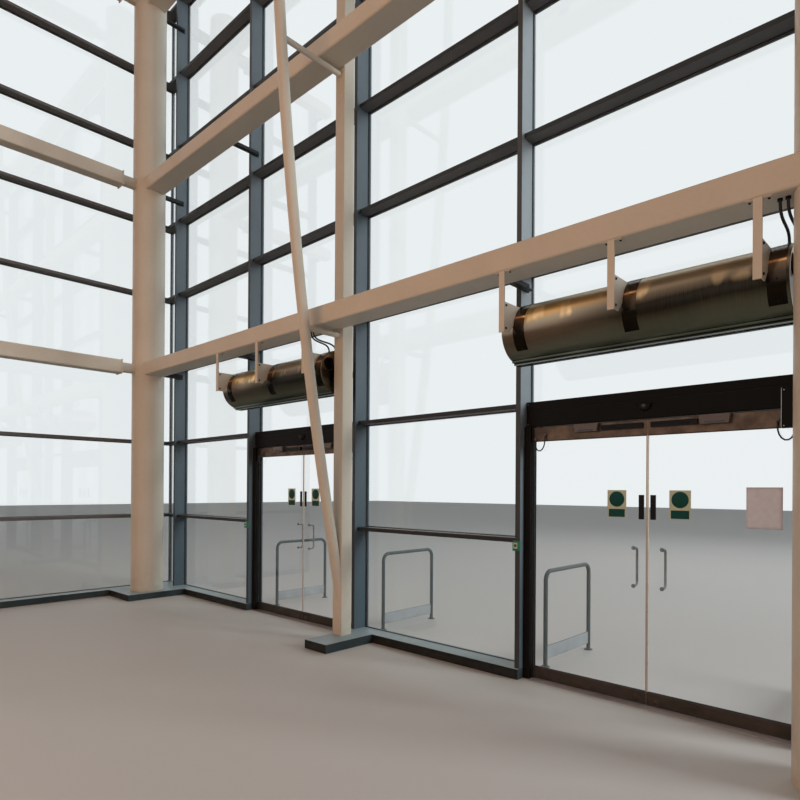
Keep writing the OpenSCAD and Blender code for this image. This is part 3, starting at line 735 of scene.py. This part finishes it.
# Steelwork trim
def make_bracket_bolts():
    """Bolts of the wall brackets: on the plates and through the arms into the bars' sides."""
    return_plate_y = -458
    kit = Kit()
    places = [(WALL, mullion_x(i) + BAR / 2, BEAM_BACK + 12) for i in (1, 2, 4, 5)]
    places.append((RETURN, -RETURN_L + BAR / 2, return_plate_y))
    for (matrix, x, y), z in product(places, BEAM_Z):
        kit.matrix = matrix
        kit.bolt((x + 12, -85, z + 88), (1, 0, 0), 13)
        kit.bolt((x + 12, y + 45, z + 92), (1, 0, 0), 9)
        for dx, dz in product((-13, 62), (75, 116)):
            kit.bolt((x + dx, y, z + dz), (0, 1, 0), 8)
    kit.done("bracket_bolts", BLACK, slot="casing_black")


def make_welds():
    """Weld beads round the struts' ends."""
    bead = 5
    strut_r = 30
    strut_drop = 60
    kit = Kit()
    profile = [(0, strut_r), (-bead, strut_r + 1), (-bead, strut_r + 2), (0, strut_r + bead)]
    for z in (BEAM_Z[0] - strut_drop, BEAM_Z[1] - strut_drop):
        kit.turned((POST_MID, BEAM_BACK, z), (0, 1, 0), profile, 32, ring=True)
    kit.done("strut_welds", STEEL_WHITE, slot="steel_white")


def make_end_plate_bolts():
    """Bolt heads on the end plates of the return beams, and the plates' seams."""
    half = 108
    end_y = COLUMN_Y - COLUMN_D / 2 - 200
    kit = Kit()
    seams = Kit()
    for z in BEAM_Z:
        for dx, dz in product((-85, 85), (-85, 85)):
            kit.bolt((LEFT_COLUMN_X + dx, end_y, z + BEAM_H / 2 + dz), (0, 1, 0), 7)
        for dx in (-half, half):
            x = sorted((LEFT_COLUMN_X + dx * 0.985, LEFT_COLUMN_X + dx * 1.004))
            seams.box(x, (end_y - 15.5, end_y - 12), (z - 8, z + BEAM_H + 8), 0.5)
    kit.done("end_plate_bolts", STEEL_WHITE, slot="steel_white")
    seams.done("end_plate_seams", STEEL_WHITE, slot="steel_white")


# Air curtain trim
def hanger_places():
    for bay in DOOR_BAYS:
        middle = (mullion_x(bay) + mullion_x(bay + 1)) / 2
        for k in (-1, 0, 1):
            yield middle + HANGER_SHIFT + k * (BAY / 2 - HANGER_IN)


def drum_ends():
    for bay in DOOR_BAYS:
        yield mullion_x(bay) + DRUM_X, mullion_x(bay + 1) - DRUM_GAP


def make_hanger_bolts():
    foot_under = BEAM_Z[0] - 6
    kit = Kit()
    for x in hanger_places():
        for dx in (-52, 52):
            kit.bolt((x + dx, -757, foot_under), (0, 0, -1), 8)
        for y, z in ((-770, 3188), (-772, 3004)):
            kit.bolt((x + HANGER_W / 2, y, z), (1, 0, 0), 9)
    kit.done("hanger_bolts", BLACK, slot="casing_black")


def make_strap_trim():
    """Screws on the straps, and thin rolled edges at the drums' ends."""
    strap_w = 104
    low_end = -46
    trim = Kit()
    edges = Kit()
    for x in hanger_places():
        start = x + HANGER_W / 2 - 8
        for turn_deg in (low_end + 6, low_end + 40):
            turn = math.radians(180 - turn_deg)
            away = Vector((0, math.cos(turn), math.sin(turn)))
            place = Vector((start + strap_w / 2 + 4, DRUM_Y, DRUM_Z)) + away * (DRUM_R + 2)
            trim.screw(place, away, 6)
    for ends in drum_ends():
        for x, way in zip(ends, (1, -1)):
            profile = [(0, DRUM_R - 9), (0, DRUM_R + 0.6), (1, DRUM_R + 1.5), (4, DRUM_R + 1.5),
                       (5, DRUM_R + 0.2), (5, DRUM_R - 9)]
            edges.turned((x, DRUM_Y, DRUM_Z), (way, 0, 0), profile, 96, ring=True)
    trim.done("strap_screws", BLACK, slot="casing_black")
    edges.done("drum_edges", DRUM_END, slot="stainless")


def make_drum_ends():
    """Screws on the drums' end discs, and a ringed dark inlet in each right one."""
    lip = 12
    screw_ring = 214
    inlet_y, inlet_z, inlet_r = -115, 80, 68
    trim = Kit()
    dark = Kit()
    for left, right in drum_ends():
        for x, way in ((left + lip, -1), (right - lip, 1)):
            for k in range(8):
                turn = (k + 0.5) * math.tau / 8
                place = (x, DRUM_Y + screw_ring * math.cos(turn),
                         DRUM_Z + screw_ring * math.sin(turn))
                trim.screw(place, (way, 0, 0), 5)
        centre = (right - lip, DRUM_Y + inlet_y, DRUM_Z + inlet_z)
        trim.turned(centre, (1, 0, 0), [(0, inlet_r), (4, inlet_r + 1), (4, inlet_r + 6),
                                        (0, inlet_r + 8)], 48, ring=True)
        dark.turned((centre[0] - 39.5, centre[1], centre[2]), (1, 0, 0),
                    [(0, inlet_r - 1), (1, inlet_r - 1)], 40)
        for k in range(-2, 3):
            dark.box((centre[0] - 36, centre[0] - 20), (centre[1] - 52, centre[1] + 52),
                     (centre[2] + k * 18 - 2, centre[2] + k * 18 + 2), 0.8)
    trim.done("drum_end_trim", DRUM_END, slot="stainless")
    dark.done("drum_inlets", BLACK, slot="casing_black")


def make_nozzle_vanes():
    """Thin vanes across the discharge slots, and the lips along each slot."""
    pitch = 58
    slot_half = 18
    mouth = DRUM_Z - DRUM_R - 20
    vanes = Kit()
    lips = Kit()
    for left, right in drum_ends():
        count = int((right - left - 40) / pitch)
        for k in range(count + 1):
            x = left + 20 + k * pitch
            vanes.box((x, x + 1.6), (DRUM_Y - slot_half, DRUM_Y + slot_half),
                      (mouth + 6, mouth + 34), 0.4)
        for side in (-1, 1):
            y = DRUM_Y + side * 45
            edge = sorted((y, y + side * 2))
            lips.box((left, right), edge, (mouth - 1, mouth + 5), 0.5)
    vanes.done("nozzle_vanes", BLACK, slot="casing_black")
    lips.done("nozzle_lips", STAINLESS, slot="stainless")


# Operator casings
def casing_span(bay):
    return mullion_x(bay) + BAR / 2, mullion_x(bay + 1) - BAR / 2


def make_casing_trim():
    cover_w = 34
    top = HEADER_Z + HEADER_H
    covers = Kit()
    screws = Kit()
    lines = Kit()
    for bay in DOOR_BAYS:
        low, high = casing_span(bay)
        for x in ((low, low + cover_w), (high - cover_w, high)):
            covers.box(x, (HEADER_FRONT - 1.4, HEADER_FRONT + 2), (HEADER_Z - 1, top + 1), 1)
            covers.box(x, (HEADER_BACK - 2, HEADER_BACK + 1.4), (HEADER_Z - 1, top + 1), 1)
            for z in (HEADER_Z + 22, top - 22):
                screws.screw(((x[0] + x[1]) / 2, HEADER_FRONT - 1.4, z), (0, -1, 0), 5.5)
                screws.screw(((x[0] + x[1]) / 2, HEADER_BACK + 1.4, z), (0, 1, 0), 5.5)
        lines.box((low + cover_w, high - cover_w), (HEADER_FRONT - 0.7, HEADER_FRONT + 1),
                  (HEADER_Z + 148, HEADER_Z + 149.5), 0.3)
        lines.box((low + 1, high - 1), (HEADER_FRONT + 6, HEADER_FRONT + 9),
                  (HEADER_Z - 3, HEADER_Z), 0.6)
    covers.done("casing_end_covers", CASING, slot="casing_black")
    screws.done("casing_screws", STAINLESS, slot="stainless")
    lines.done("casing_lines", LINE_BROWN, slot="bronze")


def make_motion_sensors():
    """Half domes with a glossy window, flat on top."""
    width = 55
    depth = 32
    top = HEADER_Z + HEADER_H / 2
    around, across = 28, 10
    kit = Kit()
    lenses = Kit()
    for bay in DOOR_BAYS:
        middle = (mullion_x(bay) + mullion_x(bay + 1)) / 2
        points = []
        for j in range(across + 1):
            rise = j / across * math.pi / 2
            for k in range(around + 1):
                turn = k / around * math.pi
                reach = width * math.cos(rise) ** 0.8
                points.append((middle + reach * math.cos(turn),
                               HEADER_FRONT - depth * math.sin(rise),
                               top - reach * math.sin(turn)))
        row = around + 1
        faces = [[j * row + k, j * row + k + 1, (j + 1) * row + k + 1, (j + 1) * row + k]
                 for j in range(across) for k in range(around)]
        faces.append(list(range(row)))
        faces.append([j * row for j in range(across + 1)]
                     + [j * row + around for j in range(across, -1, -1)])
        kit.add(points, faces)
        kit.box((middle - 60, middle + 60), (HEADER_FRONT - 34, HEADER_FRONT), (top, top + 4), 1)
        lenses.turned((middle, HEADER_FRONT - 20, top - 17), (0, -1, -0.35),
                      [(0, 20), (9, 18), (13, 13), (15, 6), (15.5, 1)], 28)
    piece = kit.done("motion_sensor_domes", BLACK, slot="casing_black")
    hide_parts("motion_sensors")
    lenses.done("motion_sensor_lenses", LENS, slot="casing_black")


def make_end_box_trim():
    """Lid, screws and bright edge of the box beside the second casing."""
    right = mullion_x(5) - BAR / 2
    left = right - 125
    front = -MULLION_D - 5
    low = HEADER_Z - 145
    kit = Kit()
    edge = Kit()
    kit.box((left + 3, right - 2), (front - 2.5, front), (low + 3, low + 265), 2)
    edge.box((left - 1, left + 2.5), (front - 3.5, front + 6), (low, low + 268), 0.6)
    for dx, dz in product((16, 109), (14, 254)):
        edge.screw((left + dx, front - 2.5, low + dz), (0, -1, 0), 4)
    kit.done("end_box_lid", CASING, slot="casing_black")
    edge.done("end_box_edge", SPACER, slot="stainless")


def make_jamb_seals():
    """Brush seals along the jambs and a cover strip on each jamb's front."""
    seals = Kit()
    covers = Kit()
    for bay in DOOR_BAYS:
        low, high = casing_span(bay)
        for x, way, width in ((low + LEFT_JAMB, 1, LEFT_JAMB), (high - RIGHT_JAMB, -1, RIGHT_JAMB)):
            for y in (-84, -44):
                seals.box((x, x + way * 5), (y, y + 7), (12, HEADER_Z - 2), 0.8)
            covers.box((x - way * width * 0.72, x - way * width * 0.28), (-117.5, -115),
                       (10, HEADER_Z - 4), 1)
    seals.done("jamb_brush_seals", RUBBER, slot="rubber")
    covers.done("jamb_cover_strips", CASING, slot="casing_black")


def make_threshold_ribs():
    ribs = Kit()
    nose = Kit()
    for bay in DOOR_BAYS:
        low, high = casing_span(bay)
        limits = (low + LEFT_JAMB + 1, high - RIGHT_JAMB - 1)
        for k in range(9):
            y = -114 + k * 12.5
            ribs.box(limits, (y, y + 5), (7.5, 9.3), 0.6)
        nose.box(limits, (-131, -120), (0, 6), 2)
        nose.box(limits, (-139, -134), (0, 4), 1)
        for k in range(6):
            x = limits[0] + (limits[1] - limits[0]) * (k + 0.5) / 6
            ribs.screw((x, -7, 8), (0, 0, 1), 5)
    ribs.done("threshold_ribs", THRESHOLD, slot="threshold")
    nose.done("threshold_nosing", THRESHOLD, slot="threshold")


def make_call_point_fronts():
    """Plain fronts of the call points: a pale frame and a dark round button."""
    front = -MULLION_D - 35
    middle = 1200
    frames = Kit()
    buttons = Kit()
    for i in (2, 4):
        x = mullion_x(i)
        frames.box((x - 22, x + 22), (front - 2, front), (middle - 24, middle + 30), 1.2)
        buttons.turned((x, front - 2, middle + 3), (0, -1, 0),
                       [(0, 14), (3, 14), (4.5, 12), (4.5, 3)], 24)
        buttons.screw((x, front, middle - 35), (0, -1, 0), 4)
    frames.done("call_point_frames", SIGN_WHITE, slot="green")
    buttons.done("call_point_buttons", GREEN, slot="green")


# Guard rails
def make_guard_trim():
    """Foot flanges with bolts, and the pale faces of the kick plates."""
    leg_y = (330, 1230)
    feet = Kit()
    plates = Kit()
    for i in (2, 3, 4, 5):
        x = mullion_x(i)
        for y in leg_y:
            feet.turned((x, y, 0), (0, 0, 1), [(0, 44), (6, 44), (8, 42), (8, 27), (16, 22),
                                               (16, 20)], 32)
            for dx in (-32, 32):
                feet.bolt((x + dx, y, 8), (0, 0, 1), 5)
        for side in (-1, 1):
            plates.box((x + side * 5, x + side * 6.2), (leg_y[0] + 24, leg_y[1] - 24),
                       (72, 193), 0.4)
    feet.done("guard_rail_feet", GUARD, slot="guard_grey")
    plates.done("kick_plate_faces", KICK, slot="guard_grey")


# Door leaves
def leaf_kit(bay, side):
    """A leaf's name, and a kit that stands at its hanging edge."""
    return leaf_name(bay, side), Kit(leaf_matrix(bay, side))


def make_handle(bay, side):
    reach = 81
    radius = 10
    half = 152.5
    bend = 32
    name, kit = leaf_kit(bay, side)
    x = LEAF_W - HANDLE_X
    face = GLASS_FACE
    middle = 1090
    corners = [(x, face, middle - half), (x, reach, middle - half),
               (x, reach, middle + half), (x, face, middle + half)]
    kit.tube(rounded(corners, bend, 10), radius, 20)
    for z in (middle - half, middle + half):
        kit.turned((x, face, z), (0, 1, 0), [(0, 16), (4, 16), (5, 15), (5, 10)], 28)
        kit.turned((x, -face, z), (0, -1, 0), [(0, 13), (2.5, 13), (3.5, 12), (3.5, 4)], 28)
    piece = kit.done(name + "_pull_handle", STAINLESS, name, "stainless")
    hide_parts(name + "_handles")


def make_slide_channel(bay, side):
    """The operator's slide channel on the top rail, with its cover line and slider."""
    name, kit = leaf_kit(bay, side)
    u = (LEAF_W - 373, LEAF_W - 28)
    kit.box((u[0] - 0.7, u[1] + 0.7), (-RAIL_FACE - 20.7, -RAIL_FACE), (2201.3, 2244.7), 2)
    kit.box((u[0] + 6, u[1] - 6), (-RAIL_FACE - 22, -RAIL_FACE - 20), (2240, 2243), 0.8)
    kit.box((u[0] + 60, u[0] + 130), (-RAIL_FACE - 24, -RAIL_FACE - 20), (2208, 2222), 1.5)
    kit.done(name + "_slide_channel", BLACK, name, "casing_black")


def make_presence_sensor(bay, side):
    """The sensor's housing, which leans in from its face, and its dark window."""
    name, housing = leaf_kit(bay, side)
    housing.slab([(409, 2265), (421, 2198), (616, 2198), (628, 2265)],
                 (-RAIL_FACE - 42.8, -RAIL_FACE), 3)
    housing.done(name + "_presence_sensor", SENSOR, name, "bronze")
    name, window = leaf_kit(bay, side)
    window.slab([(450, 2216), (453, 2204), (584, 2204), (587, 2216)],
                (-RAIL_FACE - 43.8, -RAIL_FACE - 42), 1)
    window.done(name + "_sensor_window", LENS, name, "casing_black")


def make_glass_seals(bay, side):
    """Rubber along the rails on both faces, and down the hanging edge."""
    name, kit = leaf_kit(bay, side)
    for z in ((GLASS_LOW, GLASS_LOW + 4), (GLASS_HIGH - 4, GLASS_HIGH)):
        for way in (-1, 1):
            kit.box((2, LEAF_W - 2), (way * GLASS_FACE, way * (GLASS_FACE + 4.5)), z, 0.8)
    kit.box((-1, 4), (-GLASS_FACE - 1.5, GLASS_FACE + 1.5), (GLASS_LOW, GLASS_HIGH), 1)
    kit.done(name + "_glass_seals", RUBBER, name, "rubber")


def make_meeting_edge(bay, side):
    """The clear seal where two leaves meet, painted pale as the highlight along the glass edges."""
    name, kit = leaf_kit(bay, side)
    kit.box((LEAF_W - 6, LEAF_W + 1), (-GLASS_FACE - 1.2, GLASS_FACE + 1.2),
            (GLASS_LOW, GLASS_HIGH), 1)
    kit.done(name + "_meeting_edge", SEAL_PAINTED_HIGHLIGHT, name, "glass")


def make_lock(bay, side):
    """A round lock with its key slot on both faces, and the rails' screws."""
    name, kit = leaf_kit(bay, side)
    lock_u = LEAF_W - 75
    for way in (-1, 1):
        place = Vector((lock_u, way * RAIL_FACE, 48))
        kit.turned(place, (0, way, 0), [(0, 25), (2, 25), (3.5, 23), (3.5, 15), (2.5, 14.5)], 40)
        kit.turned(place, (0, way, 0), [(2, 11), (6, 11), (6.6, 10)], 28)
        kit.box((lock_u - 1.2, lock_u + 1.2),
                (way * (RAIL_FACE + 6.4), way * (RAIL_FACE + 7.2)), (41, 55), 0.3)
        for u in (30, LEAF_W - 24):
            kit.screw((u, way * RAIL_FACE, GLASS_LOW - 14), (0, way, 0), 4)
            kit.screw((u, way * RAIL_FACE, GLASS_HIGH + 14), (0, way, 0), 4)
    kit.done(name + "_lock", LOCK, name, "bronze")


def make_rail_ends(bay, side):
    """Thin caps on the rails' meeting ends."""
    name, kit = leaf_kit(bay, side)
    for z in ((LEAF_Z + 1, GLASS_LOW - 1), (GLASS_HIGH + 1, LEAF_TOP - 1)):
        kit.box((LEAF_W - 0.5, LEAF_W + 0.9), (-RAIL_FACE + 1, RAIL_FACE - 1), z, 0.4)
    kit.done(name + "_rail_ends", EDGE_BRONZE, name, "bronze")


def make_dark_plate(bay, side):
    """The push plate beside the meeting edge, on the room side."""
    name, kit = leaf_kit(bay, side)
    kit.box((LEAF_W - 64, LEAF_W - 20), (-GLASS_FACE - 3, -GLASS_FACE), (1475, 1670), 1)
    kit.done(name + "_dark_plate", BLACK, name, "casing_black")


def make_sign(bay, side):
    """A pale plate with a green disc and a green band, and no words."""
    name, sheet = leaf_kit(bay, side)
    name, disc = leaf_kit(bay, side)
    middle = 770
    sheet.box((middle - 79, middle + 79), (-GLASS_FACE - 1.2, -GLASS_FACE), (1485, 1707), 0.4)
    disc.turned((middle, -GLASS_FACE - 1.2, 1634), (0, -1, 0),
                [(0, 63), (0.5, 63), (0.8, 62.5)], 64)
    disc.box((middle - 67, middle + 67), (-GLASS_FACE - 2, -GLASS_FACE - 1.2), (1489, 1553), 0.3)
    sheet.done(name + "_sign_plate", SIGN_WHITE, name, "glass")
    disc.done(name + "_sign_disc", SIGN_GREEN, name, "green")


def make_notice():
    """Bare sheet stuck to the last leaf's glass, its lower corners lifted a little."""
    bay, side = LEAVES[-1]
    u = (95, 319)
    z = (1437, 1731)
    steps = 10
    face = -GLASS_FACE - 0.6
    points = []
    for j in range(steps + 1):
        for k in range(steps + 1):
            a, b = k / steps, j / steps
            lift = 5 * max(0.0, abs(a - 0.5) * 2 - 0.55) * (1 - b) ** 3
            points.append((u[0] + (u[1] - u[0]) * a, face - lift, z[0] + (z[1] - z[0]) * b))
    row = steps + 1
    faces = [[j * row + k, j * row + k + 1, (j + 1) * row + k + 1, (j + 1) * row + k]
             for j in range(steps) for k in range(steps)]
    kit = Kit(leaf_matrix(bay, side))
    kit.add(points, faces)
    name = leaf_name(bay, side)
    piece = kit.done(name + "_notice", PAPER, name, "glass")
    skin = piece.modifiers.new("thickness", "SOLIDIFY")
    skin.thickness = 0.0006
    skin.offset = 0


for place in LEAVES:
    for make in (make_handle, make_slide_channel, make_presence_sensor, make_glass_seals,
                 make_meeting_edge, make_lock, make_rail_ends, make_dark_plate, make_sign,
                 make_loop):
        make(*place)
for make in (make_bracket_bolts, make_welds, make_end_plate_bolts, make_hanger_bolts,
             make_strap_trim, make_drum_ends, make_nozzle_vanes, make_casing_trim,
             make_motion_sensors, make_end_box_trim, make_jamb_seals, make_threshold_ribs,
             make_call_point_fronts, make_guard_trim, make_notice):
    make()


# Floor, lamps and background
def make_floor():
    size = 60
    mesh = bpy.data.meshes.new("floor")
    corners = [(-size, -size, 0), (size, -size, 0), (size, size, 0), (-size, size, 0)]
    mesh.from_pydata([(x, y, -0.001) for x, y, _ in corners], [], [(0, 1, 2, 3)])
    floor = bpy.data.objects.new("floor", mesh)
    bpy.context.scene.collection.objects.link(floor)
    s = Shade("floor", roughness=0.6)
    s.link(s.mix(s.noise(0.6, 4), (0.52, 0.505, 0.48), (0.56, 0.545, 0.52)), "Base Color")
    floor.data.materials.append(s.material)


def make_lamp(name, place, target, size, watts, colour):
    data = bpy.data.lights.new(name, "AREA")
    data.shape = "RECTANGLE"
    data.size, data.size_y = size
    data.energy = watts
    data.color = colour
    lamp = bpy.data.objects.new(name, data)
    lamp.visible_camera = False
    lamp.visible_glossy = False
    lamp.visible_transmission = False
    bpy.context.scene.collection.objects.link(lamp)
    way = (Vector(target) - Vector(place)).to_track_quat("-Z", "Y")
    lamp.matrix_world = Matrix.Translation(place) @ way.to_matrix().to_4x4()


def make_world():
    world = bpy.data.worlds.new("world")
    bpy.context.scene.world = world
    world.use_nodes = True
    tree = world.node_tree
    light = tree.nodes["Background"]
    light.inputs["Color"].default_value = (0.9, 0.95, 1.0, 1)
    light.inputs["Strength"].default_value = 0.12
    shown = tree.nodes.new("ShaderNodeBackground")
    shown.inputs["Color"].default_value = (0.86, 0.88, 0.9, 1)
    path = tree.nodes.new("ShaderNodeLightPath")
    share = path.outputs["Is Camera Ray"]
    for name in ("Is Glossy Ray", "Is Transmission Ray"):
        larger = tree.nodes.new("ShaderNodeMath")
        larger.operation = "MAXIMUM"
        tree.links.new(share, larger.inputs[0])
        tree.links.new(path.outputs[name], larger.inputs[1])
        share = larger.outputs[0]
    mixed = tree.nodes.new("ShaderNodeMixShader")
    tree.links.new(share, mixed.inputs[0])
    tree.links.new(light.outputs[0], mixed.inputs[1])
    tree.links.new(shown.outputs[0], mixed.inputs[2])
    tree.links.new(mixed.outputs[0], tree.nodes["World Output"].inputs["Surface"])


make_floor()
make_lamp("street_light", (3.0, 14.0, 12.0), (0, 0, 3.0), (14, 10), 700, (0.92, 0.96, 1.0))
make_lamp("side_light", (26.0, 7.5, 9.0), (0, 3.0, 4.6), (9, 9), 5200, (0.95, 0.97, 1.0))
make_lamp("room_light", (1.0, -11.0, 6.0), (0.5, 0, 4.0), (9, 6), 520, (1.0, 0.53, 0.27))
make_world()
bpy.context.scene.view_settings.view_transform = "Standard"
